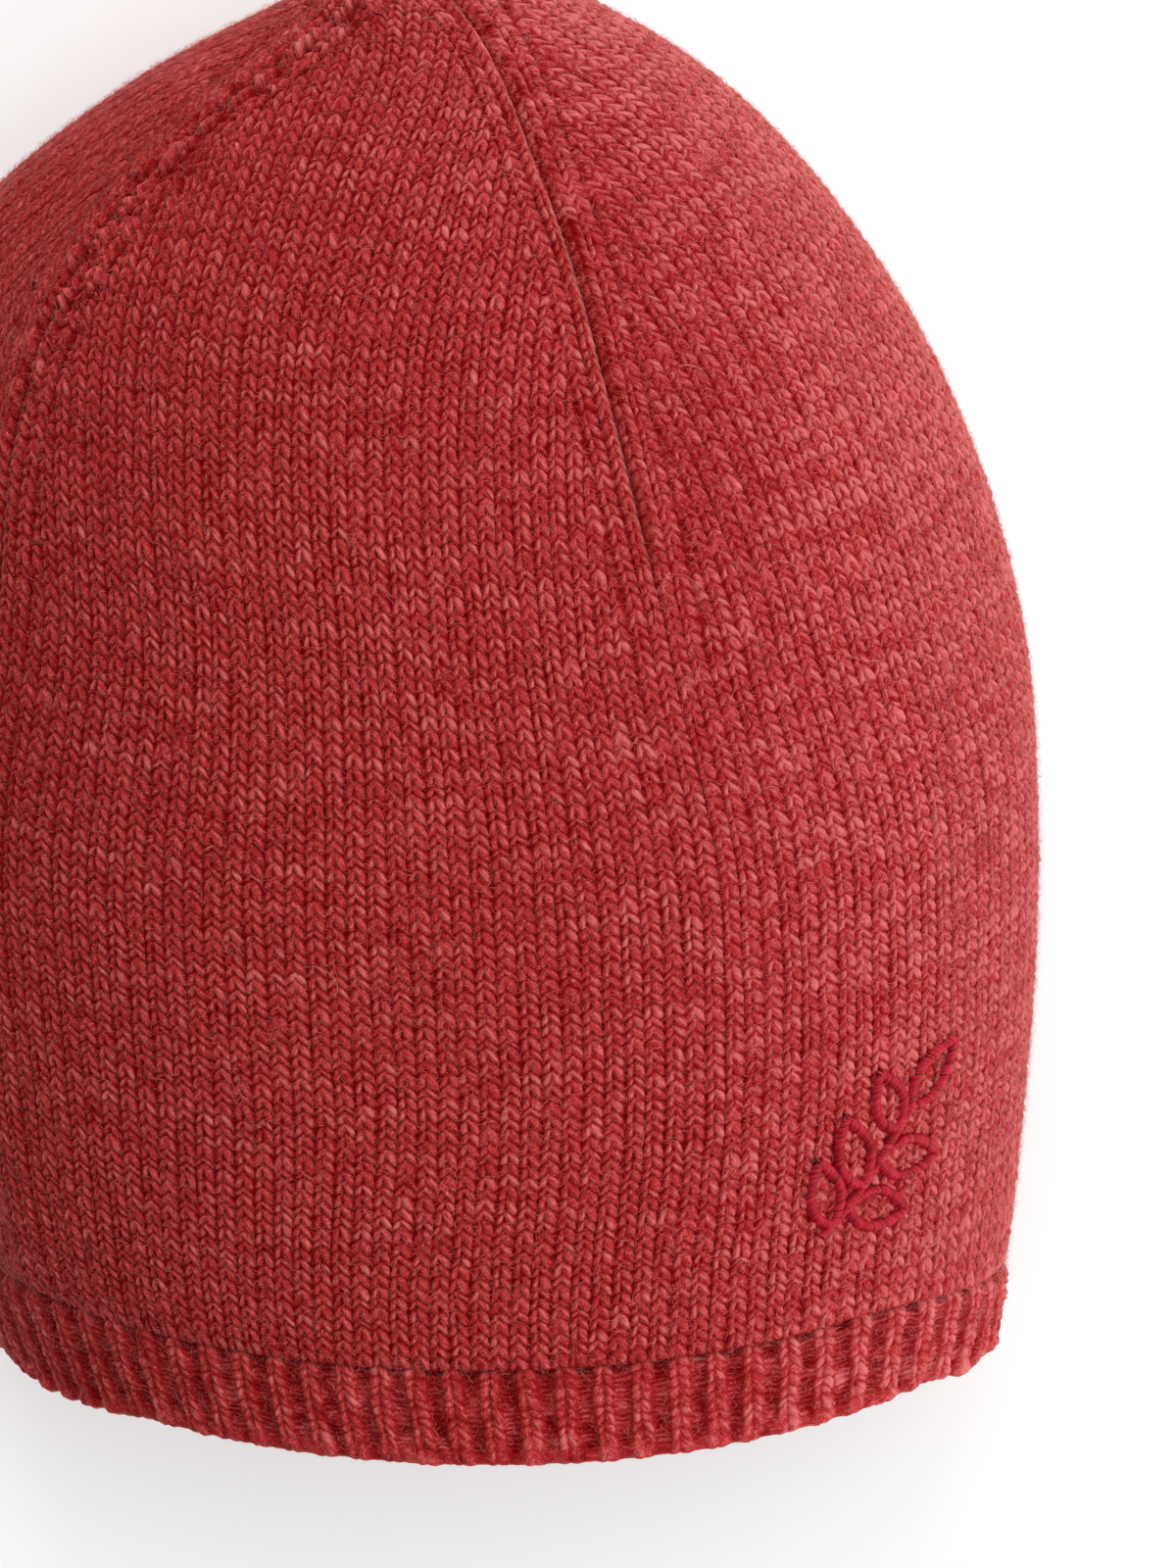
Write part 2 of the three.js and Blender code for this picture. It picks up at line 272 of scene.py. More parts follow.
def makeMesh(name, points, quads, tris, *looks):
    # looks: colours and uvs at the corners of the quads, then of the triangles
    colours, uvs = (joined(*values) for values in zip(*looks))
    used, corners = np.unique(joined(quads.ravel(), tris.ravel()), return_inverse=True)
    mesh = bpy.data.meshes.new(name)
    mesh.vertices.add(len(used))
    mesh.vertices.foreach_set("co", inFrame(points[used]).astype(np.float32).ravel())
    mesh.loops.add(len(corners))
    mesh.loops.foreach_set("vertex_index", corners.astype(np.int32))
    starts = joined(np.arange(len(quads)) * 4, len(quads) * 4 + np.arange(len(tris)) * 3)
    mesh.polygons.add(len(starts))
    mesh.polygons.foreach_set("loop_start", starts.astype(np.int32))
    mesh.polygons.foreach_set("use_smooth", np.ones(len(starts), bool))
    layer = mesh.uv_layers.new(name="fibre")
    layer.data.foreach_set("uv", uvs.astype(np.float32).ravel())
    layer = mesh.color_attributes.new(name="yarn", type="FLOAT_COLOR", domain="CORNER")
    layer.data.foreach_set("color", colours.astype(np.float32).ravel())
    mesh.update(calc_edges=True)
    return addObject(name, mesh)


noTris = np.zeros((0, 3), int)


def yarnColours(tone, height, seed):
    # what the materials read at each corner: the wool paints shade in the gaps where the height is low,
    # and a highlight on the crests where it is high
    return np.stack([tone, height, seed, np.ones_like(tone)], 1)


def newMaterial(name):
    material = bpy.data.materials.new(name)
    material.use_nodes = True
    material.node_tree.nodes.clear()
    return material, material.node_tree


def addNode(tree, kind, inputs=None, **values):
    # inputs: each socket's name or place, and its value or the output that feeds it
    node = tree.nodes.new("ShaderNode" + kind)
    for name, value in values.items():
        setattr(node, name, value)
    for socket, value in (inputs or {}).items():
        if isinstance(value, bpy.types.NodeSocket):
            tree.links.new(value, node.inputs[socket])
        else:
            node.inputs[socket].default_value = value
    return node


def yarnParts(tree):
    yarn = addNode(tree, "Attribute", attribute_name="yarn")
    return addNode(tree, "SeparateColor", {"Color": yarn.outputs["Color"]}).outputs


def addShader(tree, inputs):
    shader = addNode(tree, "BsdfPrincipled", inputs)
    addNode(tree, "OutputMaterial", {"Surface": shader.outputs[0]})


# colours of the wool, as a screen shows them
woolLook = {
    # gap is the painted shade of the gaps between the legs
    "gap": (132, 8, 14), "deep": (150, 20, 26), "body": (180, 44, 46), "pale": (218, 112, 112),
    "orange": (206, 68, 50), "pink": (230, 146, 144), "veil": (216, 112, 110),
    "shader": {"Roughness": 1.0, "Specular IOR Level": 0.05, "Sheen Weight": 0.9, "Sheen Roughness": 0.3},
    "sheenTint": (255, 185, 175), "bump": {"Strength": 0.9, "Distance": 0.0003},
    # streaks of fibre: scale across and along the yarn, detail and roughness
    "fine": (2.6, 0.8, 3.0, 0.7), "coarse": (1.3, 0.45, 2.0, 0.5), "other": (1.9, 0.6, 2.0, 0.6),
    "crestHighlight": 0.34, "coarseTone": 0.9, "fineTone": 1.4, "toneShift": 1.42, "seedSpread": 41.0,
    "veilFibres": ((0.5, 0.16, 0.8), (-0.6, 0.2, -0.5), (0.1, -0.5, 1.9)),  # ways that loose fibres lie
    "veilWidth": 0.0003, "veilLength": 0.002, "veilShown": 0.55,
}


def woolMaterial(look):
    material, tree = newMaterial("knitWool")
    parts = yarnParts(tree)
    fibreUv = addNode(tree, "UVMap", uv_map="fibre").outputs["UV"]
    place = addNode(tree, "TexCoord").outputs["Object"]

    def combined(operation, *values):
        return addNode(tree, "Math", dict(enumerate(values)), operation=operation).outputs[0]

    def mixed(factor, *ends):
        ends = [srgb(*end) if isinstance(end, tuple) else end for end in ends]
        return addNode(tree, "Mix", {6: ends[0], 7: ends[1], 0: factor},
                       data_type="RGBA").outputs[2]

    def ramped(value, low, high):
        return addNode(tree, "MapRange", {"From Min": low, "From Max": high, "Value": value},
                       interpolation_type="SMOOTHSTEP").outputs["Result"]

    seed = combined("MULTIPLY", parts["Blue"], look["seedSpread"])

    def streaks(across, along, detail, roughness):
        # fibres lie along the yarn, so the noise is stretched that way
        stretch = addNode(tree, "Mapping", {"Scale": (across, along, 1), "Vector": fibreUv})
        return addNode(tree, "TexNoise", {
            "Scale": 1.0, "Detail": detail, "Roughness": roughness,
            "Vector": stretch.outputs["Vector"], "W": seed}, noise_dimensions="4D").outputs["Fac"]

    def looseFibres(turned):
        # thin fibres that lie across the stitches one way, where the noise peaks
        size = (look["veilWidth"], look["veilLength"], look["veilWidth"])
        stretch = addNode(tree, "Mapping", {"Rotation": turned, "Scale": size, "Vector": place},
                          vector_type="TEXTURE")
        return addNode(tree, "TexNoise", {
            "Scale": 1.0, "Detail": 1.0, "Vector": stretch.outputs["Vector"]}).outputs["Fac"]

    fine, coarse, other = (streaks(*look[kind]) for kind in ("fine", "coarse", "other"))
    # tone of the leg, with a painted highlight on its crest, and streaked along its fibres
    tone = combined("MULTIPLY_ADD", parts["Green"], look["crestHighlight"], parts["Red"])
    tone = combined("MULTIPLY_ADD", coarse, look["coarseTone"], tone)
    tone = combined("MULTIPLY_ADD", fine, look["fineTone"], tone)
    tone = combined("SUBTRACT", tone, look["toneShift"])
    colour = mixed(ramped(tone, 0.0, 0.5), look["deep"], look["body"])
    colour = mixed(ramped(tone, 0.45, 0.95), colour, look["pale"])
    colour = mixed(ramped(fine, 0.6, 0.8), colour, look["pink"])
    colour = mixed(ramped(other, 0.6, 0.74), colour, look["orange"])
    # painted shade: low yarn, in the gaps and recesses, takes the dark gap colour
    colour = mixed(ramped(parts["Green"], -0.15, 0.98), look["gap"], colour)
    raised = combined("MULTIPLY", ramped(parts["Green"], 0.15, 0.7), look["veilShown"])
    for turned in look["veilFibres"]:
        shown = combined("MULTIPLY", ramped(looseFibres(turned), 0.58, 0.74), raised)
        colour = mixed(shown, colour, look["veil"])
    bump = addNode(tree, "Bump", {**look["bump"], "Height": fine}).outputs["Normal"]
    addShader(tree, {**look["shader"], "Sheen Tint": srgb(*look["sheenTint"]),
                     "Base Color": colour, "Normal": bump})
    return material


# One wale is a pair of legs that lean together; its columns run across it from gap to gap.
knit = {
    "walesPerGore": 38, "borderWales": 2,
    "lean": 0.42,  # courses that a leg's ends rise by
    "lift": 0.22, "sink": 0.48,  # top of the yarn and bottom of the gap
    # heights along one stitch: in the gap, on a leg's outer side, crest and inner side, and
    # between the legs
    "along": (0.0, 0.2, 0.4, 0.6, 0.8, 1.0),
    "gap": (-0.1, -0.2, 0.0, 0.2, 0.25, -0.1),
    "edge": (0.12, 0.4, 0.74, 0.88, 0.62, 0.12),
    "crest": (0.26, 0.8, 1.0, 1.0, 0.8, 0.26),
    "inner": (0.35, 0.84, 1.0, 0.8, 0.45, 0.35),
    "middle": (0.5, 0.66, 0.42, 0.1, -0.1, 0.5),
    "heightRange": (-0.6, 1.7), "tipFlat": 0.02,
    "coursePitch": ((0.0, 0.0080), (0.3, 0.0080), (0.42, 0.0086), (0.5, 0.0083),
                    (0.6, 0.0078), (0.68, 0.0074), (0.8, 0.0070), (1.0, 0.0069)),
    "joinWithin": 0.22, "swayMost": 0.2,  # of a wale
    "closedBelow": 0.05,  # millimetres from a gore's middle to its border
    "levelTop": 1.5, "levelEnd": 1.2,  # courses at the cut edges that lie level
    "wander": 0.12, "slowCourses": 5, "jitter": 0.08,  # unevenness of hand and yarn
    "rowJitter": 0.16, "rowMost": 0.3, "legUneven": 0.16, "gapUneven": 0.2,
    "legSpread": 0.05, "runSpread": 0.06, "alike": 0.86, "fresh": 0.51,  # tones along a course
    "rough": 2.4, "roughAt": 4.5, "roughHalf": 4.0,  # bumpier beside the left dart
    "roughSeam": 1.6, "seamHalf": 3.5,  # and a little along the others
    "roughSpan": (0.02, 0.08, 0.3, 0.45),
    "plait": 1.1, "plaitHalf": 3.4,  # bolder stitches along the left dart
    "plaitSpan": (0.03, 0.1, 0.34, 0.48),
    "leftSoft": 0.65,  # the left gore is felted flatter
    "spread": 6.0, "spreadSpan": (0.5, 0.68),  # degrees; wales widen low on the front
    "outerSlant": 0.25, "innerSlant": -0.75, "courseMm": 1.95,  # how fibres lie along the legs
}
# Columns across a wale, from gap to gap; the left leg is the narrower one. The far side
# lies on the floor, so it is made of fewer facets.
fineCloth = {"rows": 5, "columns": ((0.0, "gap"), (0.13, "edge"), (0.27, "crest"), (0.43, "middle"),
                                    (0.56, "inner"), (0.71, "crest"), (0.87, "edge"))}
plainCloth = {"rows": 4, "columns": ((0.0, "gap"), (0.14, "edge"), (0.28, "crest"), (0.43, "middle"),
                                     (0.65, "crest"), (0.86, "edge"))}
sideCloth = {"rows": 3, "columns": ((0.0, "gap"), (0.22, "crest"), (0.42, "middle"),
                                    (0.64, "crest"), (0.86, "edge"))}
farCloth = {"rows": 2, "columns": ((0.0, "gap"), (0.21, "crest"), (0.42, "middle"), (0.71, "crest"))}
bodyEnd = bandTop - 0.0008

# shares of the courses, counted from the tip
fineShares = np.linspace(0, bodyEnd, 2001)
pitchAt = np.interp(fineShares, *np.array(knit["coursePitch"]).T)
courseWalk = joined([0], np.cumsum(np.diff(fineShares) / pitchAt[1:]))
courseCount = int(round(courseWalk[-1]))
courseWalk *= courseCount / courseWalk[-1]


def courseShare(course):
    return np.interp(course, courseWalk, fineShares)


# Painted light and shade: the wool is painted paler at the right side and near the tip, where the light
# falls, and a little darker at the left, where it lies in shade.
lightAndShadePaint = {
    "right": 0.17, "rightFrom": 0.5, "lowerBy": 0.3, "lowerSpan": (0.3, 0.6), "rightFull": 0.95,
    "tip": 0.05, "tipSpan": (0.1, 0.26), "tipAside": (-0.5, 0.1),
    "left": 0.06, "leftAside": (0.2, 0.8),
    "farLeft": 0.1, "farAside": (0.5, 0.85), "farSpan": (0.14, 0.26, 0.55, 0.8),
    # height: where light is painted, the painted shade in the gaps shows less
    "height": 0.4,  # how much less the gaps show there
}


# positive where light is painted, negative where shade is painted
def paintedLightAndShade(share, turn):
    aside = sideways(share, turn)
    nearTip = (1 - ease(share, *lightAndShadePaint["tipSpan"])) * ease(aside, *lightAndShadePaint["tipAside"])
    start = lightAndShadePaint["rightFrom"] - lightAndShadePaint["lowerBy"] * ease(share, *lightAndShadePaint["lowerSpan"])
    farLeft = ease(-aside, *lightAndShadePaint["farAside"]) * hump(share, lightAndShadePaint["farSpan"])
    less = lightAndShadePaint["left"] * ease(-aside, *lightAndShadePaint["leftAside"]) + lightAndShadePaint["farLeft"] * farLeft
    return lightAndShadePaint["right"] * ease(aside, start, lightAndShadePaint["rightFull"]) - less + lightAndShadePaint["tip"] * nearTip


def heather(courses, legs):
    # tone of each leg: yarn is spun unevenly, so neighbours along a course are alike
    run = rng.normal(0, 1, (courses, legs))
    for j in range(1, legs):
        run[:, j] = knit["alike"] * run[:, j - 1] + knit["fresh"] * run[:, j]
    tone = 0.5 + knit["runSpread"] * run + rng.normal(0, knit["legSpread"], run.shape)
    return np.clip(tone, 0, 1)


def between(values, row, col):
    # smooth values between the points of a lattice
    i = np.clip(row.astype(int), 0, values.shape[0] - 2)
    j = np.clip(col.astype(int), 0, values.shape[1] - 2)
    return blended(values, i, j, ease(row - i, 0, 1), ease(col - j, 0, 1))


# How the grid of stitches strays, in millimetres and degrees; spans are shares.
drift = {
    "run": 4.2, "runSpan": (0.76, 0.97),  # wales run off to the left
    "bow": 2.3, "bowHalf": 26.0, "bowSpan": (0.03, 0.12, 0.17, 0.3),  # the right dart bows
    "seam": 0.025, "seamFrom": 0.68, "seamOver": 0.3, "seamHalf": 0.034,  # in shares, not millimetres
    "leastRound": 20.0,
}


def straighten(share, turn):
    # millimetres that the wales run off low on the front
    facing = np.maximum(np.cos(np.radians(turn)), 0) ** 2
    return -drift["run"] * ease(share, *drift["runSpan"]) * facing


def dartBend(share, turn):
    # millimetres that the right dart bows to the left below the tip
    return -drift["bow"] * hump(share, drift["bowSpan"]) * bell(pastDart(turn), drift["bowHalf"])


def seamDrop(share, turn):
    # the line where the band starts hangs lower at the right side, as a share
    t = np.clip((sideways(share, turn) - drift["seamFrom"]) / drift["seamOver"], 0, 1)
    return drift["seam"] * t * t * bell(share - bandTop, drift["seamHalf"])


def turnOf(length, share):
    # degrees that a length in millimetres takes, round the hat
    return length / np.maximum(girthAt(share), drift["leastRound"]) * 360


def goreCloth(gore, cloth):
    # points and corner data of one gore, as a grid of rows from the tip down
    per, perCourse = len(cloth["columns"]), cloth["rows"]
    wales, borderWales = knit["walesPerGore"], knit["borderWales"]
    rows = np.arange(0, courseCount * perCourse + 1)
    border = borderWales * per
    half = (wales // 2 - borderWales) * per
    inner, count = np.arange(-half + 1, half), np.arange(border + 1)
    # three runs of columns: left border, middle, right border
    phase = joined(count, inner, count) % per
    columns = len(phase)
    middleCols = slice(border + 1, columns - border - 1)
    wale = joined(count // per, borderWales + (inner + half) // per,
                           wales - borderWales + count // per)
    edge = np.ones(columns)
    edge[[0, -1]] = 0
    across = np.array([place for place, kind in cloth["columns"]] + [1.0])
    kinds = [kind for place, kind in cloth["columns"]]
    middlePhase = kinds.index("middle")
    split = across[middlePhase]
    uAt = across[phase]
    rise = knit["lean"] * np.sin(math.pi / 2 * np.where(uAt < split, uAt / split, (1 - uAt) / (1 - split)))
    rowCourse = rows / perCourse
    # the cut edges of the cloth stay level
    level = hump(rowCourse, (0, knit["levelTop"], courseCount - knit["levelEnd"], courseCount))
    grid = np.meshgrid(rowCourse, wale.astype(float), indexing="ij")
    offsets = rng.normal(0, 1, (courseCount + 3, wales + 2))
    slow = rng.normal(0, 1, (courseCount // knit["slowCourses"] + 3, wales + 2))
    steps = rng.normal(0, 1, offsets.shape)
    sway = edge * (knit["wander"] * between(slow, grid[0] / knit["slowCourses"], grid[1])
                   + knit["jitter"] * between(offsets, *grid))
    slid = np.clip(knit["rowJitter"] * between(steps, *grid), -knit["rowMost"], knit["rowMost"])
    course = rowCourse[:, None] + level[:, None] * (edge * slid - rise[None, :])
    share = courseShare(np.clip(course, 0, courseCount))
    width = girthAt(share) / (2 * hat["goreCount"])  # from the gore's middle to its dart
    pitch = girthAt(np.maximum(share, crownForm["dartSpan"][-1])) / (hat["goreCount"] * wales)
    edgeWale = np.minimum(pitch, width / borderWales)
    innerEdge = width - borderWales * edgeWale
    where = np.empty_like(share)
    place = count // per + across[count % per]
    place[-1] = borderWales
    where[:, :border + 1] = -width[:, :border + 1] + place * edgeWale[:, :border + 1]
    where[:, -border - 1:] = innerEdge[:, -border - 1:] + place * edgeWale[:, -border - 1:]
    middle = np.floor_divide(inner, per) + across[np.mod(inner, per)]
    where[:, middleCols] = middle * pitch[:, middleCols]
    # middle columns past the border join its edge
    index = np.arange(len(rows))[:, None] * columns + np.arange(columns)[None, :]
    tight = innerEdge[:, middleCols] - knit["joinWithin"] * pitch[:, middleCols]
    cutLeft = where[:, middleCols] < -tight
    cutRight = where[:, middleCols] > tight
    closed = innerEdge[:, 0] < knit["closedBelow"]
    leftEdge = index[:, border]
    rightEdge = np.where(closed, leftEdge, index[:, columns - border - 1])
    index[:, columns - border - 1] = rightEdge
    body = np.where(cutRight, rightEdge[:, None], index[:, middleCols])
    index[:, middleCols] = np.where(cutLeft, leftEdge[:, None], body)
    where = where + np.minimum(sway, pitch * knit["swayMost"])
    turn = hat["dartTurn"] + (gore + 0.5) * goreTurn + where / girthAt(share) * 360
    turn = turn + turnOf(straighten(share, turn), share)
    turn = turn + knit["spread"] * ease(share, *knit["spreadSpan"]) * np.sin(np.radians(turn))
    form = crownRelief(share, turn)
    # heights of the yarn
    beat = (rows % perCourse) / perCourse
    shapes = np.stack([np.interp(beat, knit["along"], knit[kind]) for kind in kinds], 1)
    rough = knit["rough"] * (gore == 3) * bell(where + width - knit["roughAt"], knit["roughHalf"])
    seam = knit["roughSeam"] * bell(width - np.abs(where), knit["seamHalf"])
    rough = 1 + (rough + seam) * hump(share, knit["roughSpan"])
    legUneven, gapUneven = (rough * between(rng.normal(0, knit[kind], offsets.shape), *grid)
                            for kind in ("legUneven", "gapUneven"))
    lowColumn = (phase == 0) | (phase == middlePhase)
    height = shapes[:, phase]
    height = np.where(lowColumn, height + gapUneven * edge, height * (1 + legUneven))
    height = np.clip(height, *knit["heightRange"])
    relief = (-knit["sink"] + (knit["sink"] + knit["lift"]) * height) * ease(share, 0, knit["tipFlat"])
    if gore in (2, 3):
        fromLeftDart = width - where if gore == 2 else width + where
        plait = knit["plait"] * bell(fromLeftDart, knit["plaitHalf"]) * hump(share, knit["plaitSpan"])
        relief = relief * (plait + (knit["leftSoft"] if gore == 2 else 1.0))
    turn = turn + turnOf(dartBend(share, turn), share)
    point, normal = clothPoint(share + seamDrop(share, turn), turn, form)
    point = aboveFloor(point + normal * relief[..., None])
    legOf = wale * 2 + (phase >= middlePhase)
    size = (courseCount, legOf.max() + 1)
    return {
        "rows": rows, "perCourse": perCourse, "index": index, "point": point.reshape(-1, 3),
        "height": height.ravel(), "legOf": legOf,
        "slant": np.where(phase >= middlePhase, knit["innerSlant"], knit["outerSlant"]),
        "down": (course * knit["courseMm"]).ravel(), "where": where.ravel(),
        "paintedLightAndShade": paintedLightAndShade(share, turn).ravel(), "tones": heather(*size), "seeds": rng.random(size),
    }


def clothMesh(name, made, first, last):
    # quads between neighbouring rows and columns, less those that closed up
    index = made["index"][first:last + 1]
    a, b = index[:-1, :-1], index[:-1, 1:]
    c, d = index[1:, 1:], index[1:, :-1]
    r, k = np.meshgrid(made["rows"][first:last], np.arange(index.shape[1] - 1), indexing="ij")
    whole = (a != b) & (c != d)
    fromAbove = (a == b) & (c != d)
    fromBelow = (a != b) & (c == d)
    quads = np.stack([a[whole], d[whole], c[whole], b[whole]], 1)
    tris = joined(np.stack([a[fromAbove], d[fromAbove], c[fromAbove]], 1),
                           np.stack([a[fromBelow], d[fromBelow], b[fromBelow]], 1))

    def cornerData(corners, rr, kk):
        leg, line, wide = made["legOf"][kk], rr // made["perCourse"], corners.shape[1]
        tone, seed = (np.repeat(made[kind][line, leg], wide) for kind in ("tones", "seeds"))
        flat = corners.ravel()
        down, pale = made["down"][flat], made["paintedLightAndShade"][flat]
        # the height sets the painted shade in the gaps and the painted highlight on the crests; the
        # painted light and shade by side is added to tone and height
        colour = yarnColours(tone + pale, made["height"][flat] + lightAndShadePaint["height"] * pale, seed)
        return colour, np.stack([made["where"][flat] + np.repeat(made["slant"][kk], wide) * down, down], 1)

    return makeMesh(name, made["point"], quads, tris, cornerData(quads, r[whole], k[whole]),
                    cornerData(tris, *(joined(at[fromAbove], at[fromBelow]) for at in (r, k))))


def place(piece, material, replaced, slot):
    piece.data.materials.append(material)
    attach(piece, "root")
    if replaced:
        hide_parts(replaced)
    print(piece.name, sum(len(f.vertices) - 2 for f in piece.data.polygons), "triangles")


knitWool = woolMaterial(woolLook)
# each gore's cloth and its pieces, with the courses that they run between
gores = ((plainCloth, (("gore_right", 0, courseCount),)), (farCloth, (("gore_back", 0, courseCount),)),
         (sideCloth, (("gore_left", 0, courseCount),)),
         (fineCloth, (("gore_front_upper", 0, 62), ("gore_front_lower", 62, courseCount))))
for gore, (cloth, pieces) in enumerate(gores):
    made = goreCloth(gore, cloth)
    for pieceName, *courses in pieces:
        rows = (course * cloth["rows"] for course in courses)
        place(clothMesh(pieceName, made, *rows), knitWool, "crown", "wool_knit")


# The inside of the crown: the purl side of the same cloth, smoother.
lining = {"bump": 0.07, "start": 0.004, "bumpSpan": (0.02, 0.08), "edge": 0.6,
          "low": 0.55, "high": 0.35, "waleMm": 3.1}


def crownInside():
    share = courseShare(np.arange(0, courseCount + 1, 1.0))
    share = joined([lining["start"]], share[1:])
    columns = hat["goreCount"] * knit["walesPerGore"]
    turns = np.arange(columns) * 360 / columns + hat["dartTurn"]
    shareGrid, turnGrid = np.meshgrid(share, turns, indexing="ij")
    out = crownRelief(shareGrid, turnGrid)
    odd = np.arange(len(share))[:, None] % 2
    inside, normal = clothPoint(shareGrid, turnGrid, out, layer=hat["wall"])
    inside = inside + normal * (lining["bump"] * odd * ease(shareGrid, *lining["bumpSpan"]))[..., None]
    # the cut edge turns up to meet the outside
    edge, _ = clothPoint(shareGrid[-1:], turnGrid[-1:], out[-1:] - lining["edge"])
    points = joined(inside, edge).reshape(-1, 3)
    index = np.arange(len(points)).reshape(-1, columns)
    nextCol = np.roll(index, -1, axis=1)
    quads = np.stack([index[:-1], nextCol[:-1], nextCol[1:], index[1:]], -1).reshape(-1, 4)
    tris = np.stack([np.full(columns, len(points)), nextCol[0], index[0]], 1)
    points = joined(points, inside[:1].mean(1))
    tones = heather(len(index) - 1, columns)
    seeds = rng.random(tones.shape)

    def cornerData(lines, spots, corners):
        tone, seed = (np.repeat(values[lines, spots], corners.shape[1]) for values in (tones, seeds))
        line, spot = np.minimum(corners.ravel() // columns, len(index) - 1), corners.ravel() % columns
        uv = np.stack([line * knit["courseMm"], spot * lining["waleMm"]], 1)
        # the sunk rows between the purl ridges take painted shade, the raised rows less
        return yarnColours(tone, lining["low"] + lining["high"] * (line % 2), seed), uv

    spots = np.arange(columns)
    return makeMesh("crown_inside", points, quads, tris,
                    cornerData(np.repeat(np.arange(len(index) - 1), columns),
                               np.tile(spots, len(index) - 1), quads),
                    cornerData(np.zeros(columns, int), spots, tris))


place(crownInside(), knitWool, "crown", "wool_knit")


# The band: knit wales stand up as ribs, purl wales sink between them.
band = {
    "ribs": 72, "knitWidth": 0.56,  # of a rib's pitch
    "inset": 0.3, "sideInset": -0.5, "thickness": 2.9, "recess": 0.85,
    "under": 0.006, "tucked": 1.6,  # its top is hidden under the crown's edge
    "knitSteps": (0.0, 0.12, 0.27, 0.46, 0.62, 0.82, 1.0),
    "knitHeights": (0.35, 0.92, 1.0, 0.34, 0.92, 1.0, 0.4),
    "purlSteps": (0.2, 0.4, 0.6, 0.8), "purlDepths": (0.75, 1.0, 1.0, 0.75),
    "courses": 9, "lean": 0.6, "roll": 1.1, "lift": 0.2, "sink": 0.5, "purlBump": 0.5,
    "uneven": 0.3, "scallop": 0.0007, "leanRight": 2.8,
    "innerRows": 9, "edgeStart": 3.0, "edgeEnd": 1.4,  # how far over the hem the recesses fade out
    "drop": 0.0135, "dropLeft": 0.57, "dropRight": 0.84,  # the corners of the hem hang lower
    "dropFrom": -0.03,
    "rowsPer": 4, "edgeRows": 6, "levelLength": 0.008, "slide": 0.16, "sway": 0.2,
    "tuckedFrom": -0.001, "tuckedUntil": 0.005,  # shares past the crown's edge
    "hemRise": 0.35, "hemUneven": 0.3, "hemSink": 0.3, "scallopFrom": 0.985,
    "innerKnit": -0.1, "innerPurl": 0.7, "legsSplit": 3, "innerSlant": -0.6, "outerSlant": 0.3,
}


def hemDrop(share, turn):
    aside = sideways(share, turn)
    start = np.where(aside > 0, band["dropRight"], band["dropLeft"])
    return (band["drop"] * ease(np.abs(aside), start, 1.0)
            * ease(share, bandTop + band["dropFrom"], 1.0))


